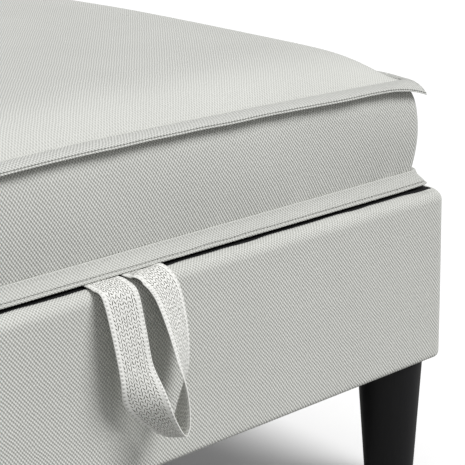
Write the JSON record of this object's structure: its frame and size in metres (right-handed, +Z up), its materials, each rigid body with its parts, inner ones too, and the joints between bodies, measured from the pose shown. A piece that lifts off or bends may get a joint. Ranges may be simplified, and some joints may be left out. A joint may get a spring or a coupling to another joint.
{
  "type": "storage ottoman",
  "caption": "Square upholstered storage ottoman: cushioned lid hinged at the back, black-lined box, tapered round legs and a folded webbing loop to lift the lid.",
  "frame": {"origin": "on the floor under the middle of the box, so halfway between the four feet", "axes": "+Z up, front with the pull loop towards -Y, hinges along +Y, +X to the right seen from the front"},
  "size_m": [0.8, 0.8562, 0.458],
  "materials": {
    "cover_cloth": "matte basket-weave upholstery cloth",
    "webbing": "matte herringbone webbing",
    "lining_cloth": "matte nonwoven lining cloth",
    "board": "raw board",
    "padding": "matte foam and wadding",
    "leg_finish": "satin black paint on turned wood",
    "glide_plastic": "matte",
    "bumper_rubber": "matte",
    "steel": "satin zinc-plated steel"
  },
  "bodies": {
    "base": {"front_panel": "board", "back_panel": "board", "left_panel": "board", "right_panel": "board", "bottom_board": "board", "corner_blocks": "board", "panel_screws": "steel", "bottom_screws": "steel", "front_padding": "padding", "back_padding": "padding", "left_padding": "padding", "right_padding": "padding", "base_cover": "cover_cloth", "storage_lining": "lining_cloth", "dust_cover": "lining_cloth", "dust_cover_staples": "steel", "leg_front_left": "leg_finish", "leg_front_right": "leg_finish", "leg_back_left": "leg_finish", "leg_back_right": "leg_finish", "leg_glides": "glide_plastic", "hanger_bolts": "steel", "tee_nuts": "steel", "hinge_base_leaves": "steel", "hinge_pins": "steel", "hinge_base_screws": "steel"},
    "lid": {"lid_board": "board", "cushion_foam": "padding", "cover_top_panel": "cover_cloth", "cover_boxing": "cover_cloth", "top_flange": "cover_cloth", "bottom_flange": "cover_cloth", "cover_hem": "cover_cloth", "lid_lining": "lining_cloth", "lid_lining_staples": "steel", "lid_bumpers": "bumper_rubber", "hinge_lid_leaves": "steel", "hinge_lid_screws": "steel", "loop_ends": "webbing", "loop_staples": "steel"},
    "pull_loop": {"pull_loop": "webbing"}
  },
  "joints": [
    {"name": "lid_hinge", "type": "hinge", "parent": "base", "child": "lid", "pos_m": [0, 0.394, 0.31575], "axis": [-1, 0, 0], "range_deg": [0, 95]},
    {"name": "pull_loop_swing", "type": "hinge", "parent": "lid", "child": "pull_loop", "pos_m": [0, -0.402, 0.3162], "axis": [-1, 0, 0], "range_deg": [0, 85]}
  ]
}
